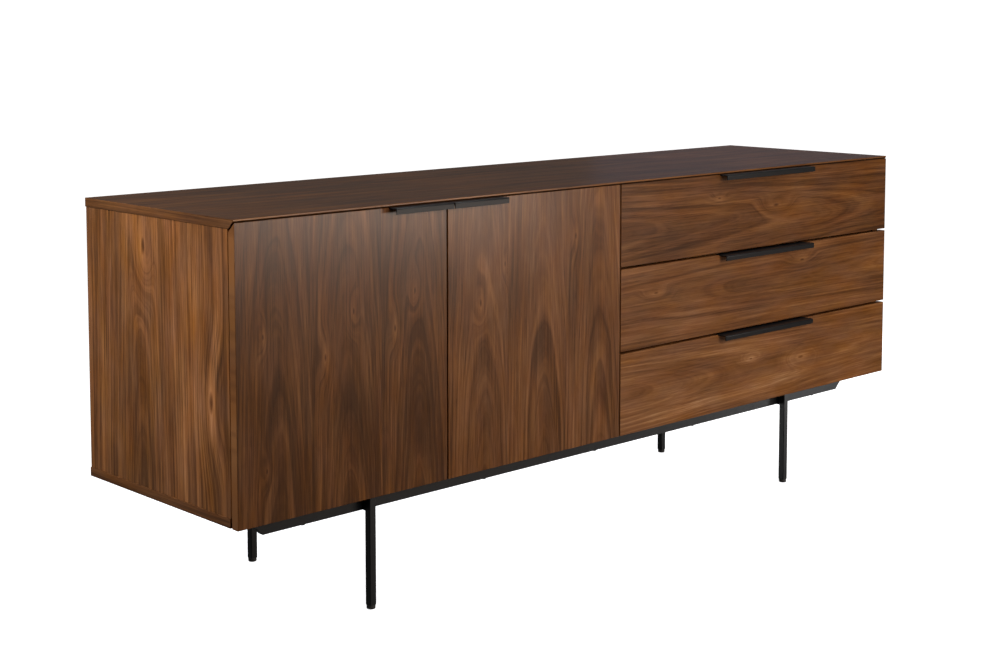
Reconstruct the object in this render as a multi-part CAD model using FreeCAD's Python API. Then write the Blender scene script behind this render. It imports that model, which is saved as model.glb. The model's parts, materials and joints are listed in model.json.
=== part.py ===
"""Office credenza: veneered carcass with two doors and three drawers on a slim steel underframe.

Frame: origin on the floor, centred in width and in overall depth. +X runs to the right seen
from the front, +Y towards the back and +Z up. Millimetres.
"""
import FreeCAD, Part
import math
import os

V = FreeCAD.Vector

# ---- driving dimensions ---------------------------------------------------------------------
# Carcass
WIDTH = 1800.0                # over the ends of the top
HEIGHT = 714.0                # floor to the top surface
DEPTH = 455.0                 # front faces to the rear edges
CARCASS_HEIGHT = 500.0        # underside of the bottom panel to the top surface
BOARD = 16.0                  # veneered board of the carcass and the fronts
END_INSET = 2.0               # side panels stand back from the ends of top and bottom
BACK_THICKNESS = 8.0
BACK_SETBACK = 8.0            # rear edges to the rear face of the back panels
BACK_GROOVE = 6.0             # how deep the back panels sit in the boards around them

# Fronts
TOP_LAND = 3.0                # upright edge left above the mitre of the top
MITRE_GAP = 2.4               # upright gap between the mitre of the top and the fronts
FRONT_DROP = 1.0              # fronts hang this far below the bottom panel
DRAWER_GAP = 4.6              # between one drawer front and the next
DOOR_GAP = 3.2                # between the doors, and between doors and drawers
FRONT_RELIEF = 2.5            # back of the fronts to the edges of the carcass
DOOR_REVEAL = 2.0             # hinged edge of the left door, back from the end of the top

# Edge pulls, bent from steel strip
PULL_REACH = 20.0             # front face to the outside of the lip
PULL_LIP = 10.5               # height of the lip
PULL_STEEL = 2.0
PULL_BEND = 0.5               # inside radius of the bend at the lip
PULL_FLANGE = 14.0            # let into the edge of the front
DRAWER_PULL = 300.0           # length on a drawer, at mid width
DOOR_PULL = 130.0             # length on a door, ending at its free edge

# Inside the door bay
SHELF_SETBACK = 20.0          # carcass front edge to the shelf
SHELF_PLAY = 1.0              # each end of the shelf
PEG_RADIUS = 2.5
PEG_DEPTH = 9.0               # of the peg in its hole
PEG_REACH = 8.0               # of the peg under the shelf
PEG_PLATE = 2.0
PEG_WIDTH = 10.0
PEG_ROW_INSET = 50.0          # carcass front edge, and back panel, to the rows of peg holes
PEG_PITCH = 32.0
PEG_HOLES = 3                 # in each row
PEG_FIT = 0.1

# Drawer boxes and their side-mounted telescopic slides
BOX_SIDE = 12.0
BOX_HEIGHT = 110.0
BOX_RISE = 28.0               # lower edge of a front to the underside of its box
BOX_BOTTOM = 6.0
BOX_BOTTOM_RISE = 12.0
BOX_GROOVE = 5.0
SLIDE_THICKNESS = 12.7
SLIDE_HEIGHT = 45.0
SLIDE_LENGTH_STEP = 50.0      # slides are made in lengths this far apart
SLIDE_SETBACK = 2.0           # carcass front edge to the cabinet member
SLIDE_REAR_ROOM = 5.0         # least room behind the cabinet member
SLIDE_STEEL = 1.2
SLIDE_LIP = 3.0               # the lips that hold one member in the next
SLIDE_FIT = 0.4               # between one member and the next

# Concealed hinges: each has an arm on the carcass, a crank, a coupler and a cup in the door.
# Crank and coupler are the sides of a parallelogram whose fourth corner is the front outer
# edge of the door, so the door turns about that edge and never swings back into the mitre.
HINGE_INSET = 90.0            # top and bottom of a door to its hinges
CUP_RADIUS = 17.5
CUP_DEPTH = 11.5
CUP_CENTRE = 22.5             # edge of the door to the middle of the cup
CUP_STEEL = 1.0
CUP_FLANGE_LENGTH = 56.0
CUP_FLANGE_WIDTH = 28.0
CUP_FLANGE_CORNER = 6.0
CUP_FIT = 0.1                 # cup in its bore
CUP_PIN_INSET = 24.0          # pin in the cup, along the door from its front outer edge
CUP_PIN_DEPTH = 10.0          # and back from that edge
ARM_PIN_INSET = 24.0          # pin in the arm, from the same edge with the door shut
ARM_PIN_DEPTH = 23.0
LINK_HALF_WIDTH = 3.5
LINK_CORNER = 0.55            # corners cut off a link, as a share of its half width
LINK_PLATE = 3.0              # cheeks of the crank
LINK_CORE = 10.0              # arm and coupler, between the cheeks
LINK_PLAY = 0.3               # side play of a cheek
PIN_RADIUS = 1.5
PIN_FIT = 0.1
PLATE_THICKNESS = 3.0         # mounting plate on the carcass
PLATE_WIDTH = 36.0
PLATE_LENGTH = 50.0
PLATE_CORNER = 6.0
PLATE_SETBACK = 26.0          # carcass front edge to the mounting plate
ARM_THICKNESS = 6.0
ARM_SHOULDER = 8.0            # run of the step between the nose and the body of the arm

# Underframe
LEG = 14.0                    # square tube
LEG_CORNER = 1.0              # cut off its corners
LEG_SPACING = 1178.0          # centre to centre along the credenza
LEG_DEPTH_SPACING = 357.0     # centre to centre, front to back
LEG_SETBACK = 47.0            # front faces to the centre of the front legs
RAIL_HEIGHT = 40.0
RAIL_THICKNESS = 12.0
RAIL_SPACER = 8.0             # leg to rail
RAIL_LENGTH = 1612.0          # along the lower edge; the ends rise outwards at 45 degrees
GLIDE_RADIUS = 8.0
GLIDE_HEIGHT = 7.0
GLIDE_BEVEL = 1.0

# ---- levels and planes that follow ----------------------------------------------------------
front = -(DEPTH + PULL_REACH) / 2 + PULL_REACH     # front faces of doors and drawers
front_back = front + BOARD                         # their back faces
edge = front_back + FRONT_RELIEF                   # front edges of the carcass boards
rear = front + DEPTH
back_face = rear - BACK_SETBACK - BACK_THICKNESS   # front faces of the back panels

underside = HEIGHT - CARCASS_HEIGHT
floor_level = underside + BOARD                    # inside the carcass
ceiling = HEIGHT - BOARD
front_foot = underside - FRONT_DROP
front_head = HEIGHT - TOP_LAND - MITRE_GAP

half = WIDTH / 2
side_out = half - END_INSET
side_in = side_out - BOARD
divider_half = BOARD / 2

door_out = half - DOOR_REVEAL
door_width = (door_out - DOOR_GAP / 2 - DOOR_GAP) / 2
drawer_pitch = (front_head - front_foot + DRAWER_GAP) / 3
drawer_height = drawer_pitch - DRAWER_GAP
drawer_left = DOOR_GAP / 2
drawer_middle = (drawer_left + half) / 2

slide_front = edge + SLIDE_SETBACK
slide_room = back_face - SLIDE_REAR_ROOM - slide_front
slide_length = slide_room // SLIDE_LENGTH_STEP * SLIDE_LENGTH_STEP    # also of the drawer box

shelf_underside = (floor_level + ceiling - BOARD) / 2
hinge_heights = [front_foot + HINGE_INSET, front_head - HINGE_INSET]
cup_pin = (CUP_PIN_INSET, CUP_PIN_DEPTH)
arm_pin = (ARM_PIN_INSET, ARM_PIN_DEPTH)
elbow_pin = (cup_pin[0] + arm_pin[0], cup_pin[1] + arm_pin[1])


# ---- shape helpers --------------------------------------------------------------------------
def block(x0, x1, y0, y1, z0, z1):
    """Box between two corners, given in any order."""
    return Part.makeBox(abs(x1 - x0), abs(y1 - y0), abs(z1 - z0),
                        V(min(x0, x1), min(y0, y1), min(z0, z1)))


def outline(points, place):
    """Closed face through points; place turns (a, b) into a vector.

    A point (a, b, r) is a corner rounded to the radius r.
    """
    edges, ends = [], []
    count = len(points)
    for i, point in enumerate(points):
        corner = V(point[0], point[1], 0)
        radius = point[2] if len(point) > 2 else 0
        if not radius:
            ends.append((corner, corner))
            continue
        before, after = points[i - 1], points[(i + 1) % count]
        to_before = (V(before[0], before[1], 0) - corner).normalize()
        to_after = (V(after[0], after[1], 0) - corner).normalize()
        half_angle = to_before.getAngle(to_after) / 2
        reach = radius / math.tan(half_angle)
        start, end = corner + to_before * reach, corner + to_after * reach
        inward = (to_before + to_after).normalize()
        middle = corner + inward * (radius / math.sin(half_angle) - radius)
        edges.append(Part.Arc(*(place(p.x, p.y) for p in (start, middle, end))).toShape())
        ends.append((start, end))
    for i, (_, leave) in enumerate(ends):
        arrive = ends[(i + 1) % count][0]
        if leave.distanceToPoint(arrive) > 1e-6:
            edges.append(Part.makeLine(place(leave.x, leave.y), place(arrive.x, arrive.y)))
    return Part.Face(Part.Wire(Part.__sortEdges__(edges)))


def along_x(points, x0, x1):
    """Profile of (y, z) points, drawn out from x0 to x1."""
    return outline(points, lambda y, z: V(x0, y, z)).extrude(V(x1 - x0, 0, 0))


def along_y(points, y0, y1):
    """Profile of (x, z) points, drawn out from y0 to y1."""
    return outline(points, lambda x, z: V(x, y0, z)).extrude(V(0, y1 - y0, 0))


def along_z(points, z0, z1):
    """Profile of (x, y) points, drawn out from z0 to z1."""
    return outline(points, lambda x, y: V(x, y, z0)).extrude(V(0, 0, z1 - z0))


def post(x, y, radius, z0, z1):
    """Upright cylinder."""
    return Part.makeCylinder(radius, z1 - z0, V(x, y, z0))


def cut_corners(a0, a1, b0, b1, cut):
    """Points of a rectangle with its corners cut at 45 degrees."""
    return [(a0 + cut, b0), (a1 - cut, b0), (a1, b0 + cut), (a1, b1 - cut),
            (a1 - cut, b1), (a0 + cut, b1), (a0, b1 - cut), (a0, b0 + cut)]


def link(start, end, half_width, z0, z1):
    """Flat bar with cut corners that reaches half_width past two (x, y) points."""
    run = V(end[0] - start[0], end[1] - start[1], 0)
    bar = along_z(cut_corners(-half_width, run.Length + half_width, -half_width, half_width,
                              half_width * LINK_CORNER), z0, z1)
    turned = math.degrees(math.atan2(run.y, run.x))
    bar.rotate(V(0, 0, 0), V(0, 0, 1), turned)
    return bar.translated(V(*start, 0))


def mirrored(shape, x=0.0):
    """Mirror image across the upright plane at x."""
    return shape.mirror(V(x, 0, 0), V(1, 0, 0))


def save(name, *pieces):
    """Write one node; several pieces become a group of separate solids."""
    shape = pieces[0] if len(pieces) == 1 else Part.makeCompound(list(pieces))
    shape.exportStep("parts/" + name + ".step")


# ---- carcass --------------------------------------------------------------------------------
def back_panels():
    """Left and right back panel, each in the grooves of the boards around it."""
    y0, y1 = back_face, back_face + BACK_THICKNESS
    z0, z1 = floor_level - BACK_GROOVE, ceiling + BACK_GROOVE
    inner, outer = divider_half - BACK_GROOVE, side_in + BACK_GROOVE
    return block(-outer, -inner, y0, y1, z0, z1), block(inner, outer, y0, y1, z0, z1)


def top_panel():
    """Top with its front edge mitred down and back from a narrow land."""
    profile = [(front, HEIGHT), (rear, HEIGHT), (rear, ceiling),
               (front + BOARD - TOP_LAND, ceiling), (front, HEIGHT - TOP_LAND)]
    return along_x(profile, -half, half)


def peg_places():
    """Depth positions of the two rows of pegs."""
    return edge + PEG_ROW_INSET, back_face - PEG_ROW_INSET


def peg_holes(face, inward):
    """Rows of blind holes in the board whose inner face is at x = face."""
    holes = []
    axis_height = shelf_underside - PEG_PLATE - PEG_RADIUS
    for y in peg_places():
        for step in range(PEG_HOLES):
            z = axis_height + (step - PEG_HOLES // 2) * PEG_PITCH
            holes.append(Part.makeCylinder(PEG_RADIUS + PEG_FIT, PEG_DEPTH + PEG_FIT,
                                           V(face, y, z), V(-inward, 0, 0)))
    return holes


def shelf_pegs():
    """Four pegs, each with a flat plate on which the shelf lies."""
    pegs = []
    axis_height = shelf_underside - PEG_PLATE - PEG_RADIUS
    for face, inward in ((-side_in, 1), (-divider_half, -1)):
        for y in peg_places():
            stem = Part.makeCylinder(PEG_RADIUS, PEG_DEPTH + PEG_REACH,
                                     V(face - inward * PEG_DEPTH, y, axis_height),
                                     V(inward, 0, 0))
            plate = block(face, face + inward * PEG_REACH, y - PEG_WIDTH / 2,
                          y + PEG_WIDTH / 2, axis_height, shelf_underside)
            pegs.append(stem.fuse(plate).removeSplitter())
    return pegs


def carcass():
    backs = back_panels()
    save("left_back_panel", backs[0])
    save("right_back_panel", backs[1])
    save("top_panel", top_panel().cut(list(backs)))

    bottom = block(-half, half, edge, rear, underside, floor_level)
    save("bottom_panel", bottom.cut(list(backs)))

    side = block(-side_out, -side_in, edge, rear, floor_level, ceiling)
    save("left_side_panel", side.cut([backs[0]] + peg_holes(-side_in, 1)))
    save("right_side_panel", mirrored(side).cut(backs[1]))
    divider = block(-divider_half, divider_half, edge, rear, floor_level, ceiling)
    save("divider_panel", divider.cut(list(backs) + peg_holes(-divider_half, -1)))

    shelf_back = back_face - SHELF_PLAY
    save("shelf", block(-side_in + SHELF_PLAY, -divider_half - SHELF_PLAY,
                        edge + SHELF_SETBACK, shelf_back,
                        shelf_underside, shelf_underside + BOARD))
    save("shelf_pegs", *shelf_pegs())


# ---- fronts and pulls -----------------------------------------------------------------------
def board_front(x0, x1, foot, head, mitred):
    """Upright front board; a mitred one slopes down and back from its front top edge."""
    back_head = head - BOARD if mitred else head
    return along_x([(front, foot), (front, head), (front_back, back_head), (front_back, foot)],
                   x0, x1)


def pull_profile(head, mitred):
    """Lip, shelf and flange of the pull; the flange lies flush in the edge of the front."""
    lip = front - PULL_REACH
    inner = lip + PULL_STEEL
    if mitred:
        run = PULL_FLANGE / math.sqrt(2)
        skin = PULL_STEEL / math.sqrt(2)
        inner_bend = front + PULL_STEEL - PULL_STEEL * math.sqrt(2)
        flange = [(front, head), (front + run, head - run),
                  (front + run - skin, head - run - skin), (inner_bend, head - PULL_STEEL)]
    else:
        flange = [(front + PULL_FLANGE, head), (front + PULL_FLANGE, head - PULL_STEEL)]
    return ([(lip, head - PULL_LIP), (lip, head, PULL_BEND + PULL_STEEL)] + flange
            + [(inner, head - PULL_STEEL, PULL_BEND), (inner, head - PULL_LIP)])


def front_with_pull(board, x0, x1, head, mitred):
    """The board with a seat for its pull, and the pull."""
    pull = along_x(pull_profile(head, mitred), x0, x1)
    return board.cut(pull), pull


# ---- concealed hinges -----------------------------------------------------------------------
class Hinge:
    """Hinges of one door, at x = edge_x, with the door running towards turn * X.

    face is the distance from the edge of the door to the board that carries the arms.
    """

    def __init__(self, edge_x, turn, face):
        self.edge_x, self.turn, self.face = edge_x, turn, face

    def at(self, point):
        """Plan point given from the front outer edge of the door."""
        return self.edge_x + self.turn * point[0], front + point[1]

    def bore(self, z):
        """Bore for the cup in the back of the door."""
        x, y = self.at((CUP_CENTRE, BOARD))
        return Part.makeCylinder(CUP_RADIUS + CUP_FIT, CUP_DEPTH + CUP_FIT, V(x, y, z), V(0, -1, 0))

    def cup(self, z):
        """Pressed cup with its flange and the pin that the coupler turns on."""
        x, y = self.at((CUP_CENTRE, BOARD))
        mouth, into_door = V(x, y + CUP_STEEL, z), V(0, -1, 0)
        can = Part.makeCylinder(CUP_RADIUS, CUP_DEPTH + CUP_STEEL, mouth, into_door)
        hollow = Part.makeCylinder(CUP_RADIUS - CUP_STEEL, CUP_DEPTH, mouth, into_door)
        w, h = CUP_FLANGE_WIDTH / 2, CUP_FLANGE_LENGTH / 2
        flange = along_y(cut_corners(x - w, x + w, z - h, z + h, CUP_FLANGE_CORNER),
                         y, y + CUP_STEEL)
        pin_x, pin_y = self.at(cup_pin)
        reach = math.sqrt((CUP_RADIUS - CUP_STEEL / 2) ** 2
                          - (CUP_PIN_INSET - CUP_CENTRE + PIN_RADIUS) ** 2)
        pin = post(pin_x, pin_y, PIN_RADIUS, z - reach, z + reach)
        return can.fuse(flange).cut(hollow).fuse(pin).removeSplitter()

    def crank(self, z):
        """Two cheeks that turn on the pin of the arm and carry the pin of the coupler."""
        low = LINK_CORE / 2 + LINK_PLAY
        start, elbow = self.at(arm_pin), self.at(elbow_pin)
        cheeks = [link(start, elbow, LINK_HALF_WIDTH, z0, z0 + LINK_PLATE)
                  for z0 in (z + low, z - low - LINK_PLATE)]
        cheeks = [cheek.cut(post(*start, PIN_RADIUS + PIN_FIT, z - low - LINK_PLATE,
                                 z + low + LINK_PLATE)) for cheek in cheeks]
        pin = post(*elbow, PIN_RADIUS, z - low - LINK_PLATE, z + low + LINK_PLATE)
        return pin.multiFuse(cheeks).removeSplitter()

    def coupler(self, z):
        """Bar from the pin in the cup to the pin of the crank."""
        start, elbow = self.at(cup_pin), self.at(elbow_pin)
        z0, z1 = z - LINK_CORE / 2, z + LINK_CORE / 2
        bar = link(start, elbow, LINK_HALF_WIDTH, z0, z1)
        return bar.cut([post(*end, PIN_RADIUS + PIN_FIT, z0, z1) for end in (start, elbow)])

    def plate(self, z):
        """Mounting plate on the inner face of the board."""
        x0 = self.edge_x + self.turn * self.face
        y0 = edge + PLATE_SETBACK
        z0, z1 = z - PLATE_LENGTH / 2, z + PLATE_LENGTH / 2
        return along_x(cut_corners(y0, y0 + PLATE_WIDTH, z0, z1, PLATE_CORNER),
                       x0, x0 + self.turn * PLATE_THICKNESS)

    def arm(self, z):
        """Arm on the mounting plate, stepped out to a nose that carries the crank."""
        base = self.face + PLATE_THICKNESS
        nose_low, nose_high = ARM_PIN_INSET - LINK_HALF_WIDTH, ARM_PIN_INSET + LINK_HALF_WIDTH
        body_start = edge - front + PLATE_SETBACK
        body_end = body_start + PLATE_WIDTH
        step = body_start - ARM_SHOULDER
        sheet = [(nose_low, ARM_PIN_DEPTH), (nose_high, ARM_PIN_DEPTH),
                 (nose_high, step), (base + ARM_THICKNESS, body_start),
                 (base + ARM_THICKNESS, body_end), (base, body_end), (base, body_start),
                 (nose_low, step)]
        z0, z1 = z - LINK_CORE / 2, z + LINK_CORE / 2
        body = along_z([self.at(point) for point in sheet], z0, z1)
        nose = post(*self.at(arm_pin), LINK_HALF_WIDTH, z0, z1)
        low = LINK_CORE / 2 + LINK_PLAY + LINK_PLATE
        pin = post(*self.at(arm_pin), PIN_RADIUS, z - low, z + low)
        return body.multiFuse([nose, pin]).removeSplitter()


def doors():
    left = Hinge(-door_out, 1, door_out - side_in)
    right = Hinge(-DOOR_GAP / 2, -1, divider_half - DOOR_GAP / 2)
    for name, hinge in (("left", left), ("right", right)):
        hinged, free = hinge.edge_x, hinge.edge_x + hinge.turn * door_width
        pull_start = free - hinge.turn * DOOR_PULL
        board = board_front(min(hinged, free), max(hinged, free), front_foot, front_head, True)
        board = board.cut([hinge.bore(z) for z in hinge_heights])
        door, pull = front_with_pull(board, min(pull_start, free), max(pull_start, free),
                                     front_head, True)
        save(name + "_door", door)
        save(name + "_door_pull", pull)
        save(name + "_hinge_cups", *[hinge.cup(z) for z in hinge_heights])
        save(name + "_hinge_cranks", *[hinge.crank(z) for z in hinge_heights])
        save(name + "_hinge_couplers", *[hinge.coupler(z) for z in hinge_heights])
        save(name + "_hinge_plates", *[hinge.plate(z) for z in hinge_heights])
        save(name + "_hinge_arms", *[hinge.arm(z) for z in hinge_heights])


# ---- drawers --------------------------------------------------------------------------------
def channel(depth0, depth1, half_height, lip):
    """Profile of a lipped channel, open towards larger depth; lip 0 leaves plain flanges."""
    t = SLIDE_STEEL
    upper = [(depth1, half_height), (depth1, half_height - (t + lip))]
    if lip:
        upper += [(depth1 - t, half_height - (t + lip)), (depth1 - t, half_height - t)]
    else:
        upper[1] = (depth1, half_height - t)
    lower = [(d, -h) for d, h in reversed(upper)]
    return ([(depth0, half_height)] + upper + [(depth0 + t, half_height - t),
            (depth0 + t, -half_height + t)] + lower + [(depth0, -half_height)])


def slide_profiles():
    """Cabinet, middle and drawer member, in (depth from the cabinet side, height)."""
    t, fit = SLIDE_STEEL, SLIDE_FIT
    outer_half = SLIDE_HEIGHT / 2
    outer_mouth = SLIDE_THICKNESS - t - 2 * fit
    middle_half = outer_half - t - fit
    inner_half = middle_half - t - SLIDE_LIP - fit
    outer_lip = outer_half - t - inner_half - fit
    middle_mouth = outer_mouth - t - fit
    outer = channel(0, outer_mouth, outer_half, outer_lip)
    middle = channel(t + fit, middle_mouth, middle_half, SLIDE_LIP)
    inner = [(SLIDE_THICKNESS - depth, height) for depth, height in
             channel(0, SLIDE_THICKNESS - 2 * t - 2 * fit, inner_half, 0)]
    return outer, middle, inner


def slide_pair(profile, z):
    """The same member on the divider and, mirrored, on the right side."""
    middle = (divider_half + side_in) / 2
    points = [(divider_half + depth, z + height) for depth, height in profile]
    member = along_y(points, slide_front, slide_front + slide_length)
    return member, mirrored(member, middle)


def drawer(name, foot, head, mitred):
    """One drawer with its pull, box and slides."""
    board = board_front(drawer_left, half, foot, head, mitred)
    face, pull = front_with_pull(board, drawer_middle - DRAWER_PULL / 2,
                                 drawer_middle + DRAWER_PULL / 2, head, mitred)
    save(name + "_drawer_front", face)
    save(name + "_drawer_pull", pull)

    out0, out1 = divider_half + SLIDE_THICKNESS, side_in - SLIDE_THICKNESS
    in0, in1 = out0 + BOX_SIDE, out1 - BOX_SIDE
    z0 = foot + BOX_RISE
    z1 = z0 + BOX_HEIGHT
    y0, y1 = front_back, front_back + slide_length
    back_y = y1 - BOX_SIDE
    sheet = block(in0 - BOX_GROOVE, in1 + BOX_GROOVE, y0, back_y + BOX_GROOVE,
                  z0 + BOX_BOTTOM_RISE, z0 + BOX_BOTTOM_RISE + BOX_BOTTOM)
    save(name + "_drawer_left_side", block(out0, in0, y0, y1, z0, z1).cut(sheet))
    save(name + "_drawer_right_side", block(in1, out1, y0, y1, z0, z1).cut(sheet))
    save(name + "_drawer_back", block(in0, in1, back_y, y1, z0, z1).cut(sheet))
    save(name + "_drawer_bottom", sheet)

    outer, middle, inner = slide_profiles()
    axis_height = z0 + BOX_HEIGHT / 2
    save(name + "_slide_cabinet_members", *slide_pair(outer, axis_height))
    save(name + "_slide_middle_members", *slide_pair(middle, axis_height))
    save(name + "_slide_drawer_members", *slide_pair(inner, axis_height))


def drawers():
    for step, name in enumerate(("bottom", "middle", "top")):
        foot = front_foot + step * drawer_pitch
        drawer(name, foot, foot + drawer_height, name == "top")


# ---- underframe -----------------------------------------------------------------------------
def leg_rows():
    """Depth positions of the leg centres, front and rear."""
    return front + LEG_SETBACK, front + LEG_SETBACK + LEG_DEPTH_SPACING


def rail_centres():
    """Depth positions of the rail centres; the legs stand outside the rails."""
    inset = LEG / 2 + RAIL_SPACER + RAIL_THICKNESS / 2
    return leg_rows()[0] + inset, leg_rows()[1] - inset


def underframe():
    z0, z1 = underside - RAIL_HEIGHT, underside
    low = RAIL_LENGTH / 2
    high = low + RAIL_HEIGHT
    profile = [(-low, z0), (low, z0), (high, z1), (-high, z1)]
    for name, y in zip(("front_rail", "rear_rail"), rail_centres()):
        save(name, along_y(profile, y - RAIL_THICKNESS / 2, y + RAIL_THICKNESS / 2))

    front_rail, rear_rail = rail_centres()
    tube = block(-RAIL_THICKNESS / 2, RAIL_THICKNESS / 2, front_rail + RAIL_THICKNESS / 2,
                 rear_rail - RAIL_THICKNESS / 2, z0, z1)
    save("cross_tubes", *[tube.translated(V(x, 0, 0))
                          for x in (-LEG_SPACING / 2, LEG_SPACING / 2)])

    spacers, glides = [], []
    for row, y, outward in (("front", leg_rows()[0], 1), ("rear", leg_rows()[1], -1)):
        for side, x in (("left", -LEG_SPACING / 2), ("right", LEG_SPACING / 2)):
            r = LEG / 2
            save(row + "_" + side + "_leg",
                 along_z(cut_corners(x - r, x + r, y - r, y + r, LEG_CORNER),
                         GLIDE_HEIGHT, underside))
            flat = r - LEG_CORNER
            spacers.append(block(x - flat, x + flat, y + outward * r,
                                 y + outward * (r + RAIL_SPACER), z0, z1))
            disc = post(x, y, GLIDE_RADIUS, 0, GLIDE_HEIGHT)
            foot = [rim for rim in disc.Edges if rim.BoundBox.ZMax < GLIDE_HEIGHT / 2
                    and isinstance(rim.Curve, Part.Circle)]
            glides.append(disc.makeChamfer(GLIDE_BEVEL, foot))
    save("leg_spacers", *spacers)
    save("glides", *glides)


os.makedirs("parts", exist_ok=True)
carcass()
doors()
drawers()
underframe()
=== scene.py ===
# %% [markdown]
# # Dressing an office credenza
#
# The credenza is a case of walnut-veneered board on a thin black steel underframe. Two doors
# hang on the left and three drawers run on the right, each with a pull bent from steel strip.
# The solid shapes come ready made, one object per part, and they stay exactly where they are.
# What is left for us is everything the eye reads as "real": the figure of the veneer, the
# softened arrises, the coatings, the screws, the light and the camera.

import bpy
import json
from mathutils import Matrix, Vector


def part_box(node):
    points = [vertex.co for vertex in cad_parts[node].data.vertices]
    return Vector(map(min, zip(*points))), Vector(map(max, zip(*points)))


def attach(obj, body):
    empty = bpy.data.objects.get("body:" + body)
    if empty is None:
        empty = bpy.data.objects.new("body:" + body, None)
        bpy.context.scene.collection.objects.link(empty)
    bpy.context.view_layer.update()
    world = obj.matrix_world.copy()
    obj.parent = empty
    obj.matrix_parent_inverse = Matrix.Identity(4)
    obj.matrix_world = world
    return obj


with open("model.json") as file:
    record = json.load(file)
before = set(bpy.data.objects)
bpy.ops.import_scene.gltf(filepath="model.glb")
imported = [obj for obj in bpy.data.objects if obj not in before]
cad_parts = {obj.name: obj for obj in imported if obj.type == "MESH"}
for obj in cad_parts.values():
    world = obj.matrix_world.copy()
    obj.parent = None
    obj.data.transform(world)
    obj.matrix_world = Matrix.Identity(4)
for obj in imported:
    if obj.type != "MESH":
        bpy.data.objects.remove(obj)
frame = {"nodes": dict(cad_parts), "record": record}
print("frame loaded")

# %% Read what was loaded
import json
import math

import bmesh
import bpy
from mathutils import Matrix, Vector

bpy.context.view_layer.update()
parts = frame["nodes"]
slots = {row["node"]: row["material_slot"] for row in frame["record"]["subparts"]}

# %% [markdown]
# ## Small helpers
#
# Colours are easiest to choose as the hex values of a colour picker, which are sRGB. Shaders
# work with linear light, so one function turns the first into the second. Node trees are long
# to write out by hand, so a second function adds any node, sets it up and links it in one call.
# Keeping to one general function means that the tree still reads as the nodes you would see
# in the editor.

# %% Colour and node helpers
MM = 0.001


def hex_linear(code):
    """Linear RGBA of an sRGB hex colour."""
    channels = [int(code[i:i + 2], 16) / 255 for i in (1, 3, 5)]
    return [c / 12.92 if c <= 0.04045 else ((c + 0.055) / 1.055) ** 2.4 for c in channels] + [1.0]


def add(tree, kind, inputs=None, **settings):
    """Adds a node; inputs maps a socket's name or number to a value or to another socket."""
    made = tree.nodes.new(kind)
    for name, value in settings.items():
        setattr(made, name, value)
    for key, value in (inputs or {}).items():
        if isinstance(value, bpy.types.NodeSocket):
            tree.links.new(value, made.inputs[key])
        else:
            made.inputs[key].default_value = value
    return made


def set_ramp(node, stops):
    """Colours of a ramp node from (position, hex colour) pairs."""
    elements = node.color_ramp.elements
    while len(elements) < len(stops):
        elements.new(1.0)
    for element, (position, code) in zip(elements, stops):
        element.position = position
        element.color = hex_linear(code)


def new_material(name, **shader_values):
    """Material whose Principled shader has these fixed values; returns (material, shader)."""
    material = bpy.data.materials.new(name)
    material.use_nodes = True
    shader = material.node_tree.nodes["Principled BSDF"]
    for socket, value in shader_values.items():
        shader.inputs[socket.replace("_", " ")].default_value = value
    return material, shader


print("helpers ready; mid walnut is", [round(v, 3) for v in hex_linear("#6d4730")[:3]])

# %% [markdown]
# ## Walnut veneer
#
# Crown-cut walnut shows tall nested arches, because the knife slices along the outside of a log
# that tapers. We could paint such arches with distorted waves, but it is simpler to model the
# log itself: growth rings are cylinders around a heart line, the sheet lies a few centimetres
# from that line, and the distance between them grows slowly along the grain. Cutting the
# cylinders with the sheet then gives arches by itself, straight lines further out, and eyes
# around knots when a knot pushes the rings outwards.
#
# Everything is measured in metres along three directions of the sheet: across the grain, along
# the grain, and the number of the veneer leaf, which shifts the noise a little so that
# neighbouring leaves look alike but never the same. No trunk is quite straight, so the heart
# line wanders by a few centimetres, and "Wild" says how much of that a sheet shows.

# %% The growth-ring group
RING_WIDTH = 8 * MM            # growth rings as they show on a crown-cut sheet
RIPPLE = 2.5 * MM              # how far a ring strays from a smooth line
RIPPLE_WIDTH = 22 * MM
RIPPLE_LENGTH = 220 * MM
WANDER = Vector((22 * MM, 0, 34 * MM))    # of the heart line, sideways and in depth
WANDER_WIDTH = 110 * MM
WANDER_LENGTH = 500 * MM

figure = bpy.data.node_groups.new("walnut figure", "ShaderNodeTree")
for name in ("Across", "Along", "Leaf", "Heart", "Depth", "Taper", "Wild", "Swell", "Shade"):
    figure.interface.new_socket(name, in_out="INPUT", socket_type="NodeSocketFloat")
for name, kind in (("Tone", "NodeSocketFloat"), ("Pores", "NodeSocketFloat"),
                   ("Drift", "NodeSocketVector")):
    figure.interface.new_socket(name, in_out="OUTPUT", socket_type=kind)
given = add(figure, "NodeGroupInput").outputs


def stretched_noise(tree, place, across, along, detail):
    """Noise whose spots are across metres wide and along metres long on the sheet."""
    scaled = add(tree, "ShaderNodeVectorMath", {0: place, 1: (1 / across, 1 / along, 1)},
                 operation="MULTIPLY")
    return add(tree, "ShaderNodeTexNoise",
               {"Vector": scaled.outputs[0], "Scale": 1.0, "Detail": detail, "Roughness": 0.55})


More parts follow.
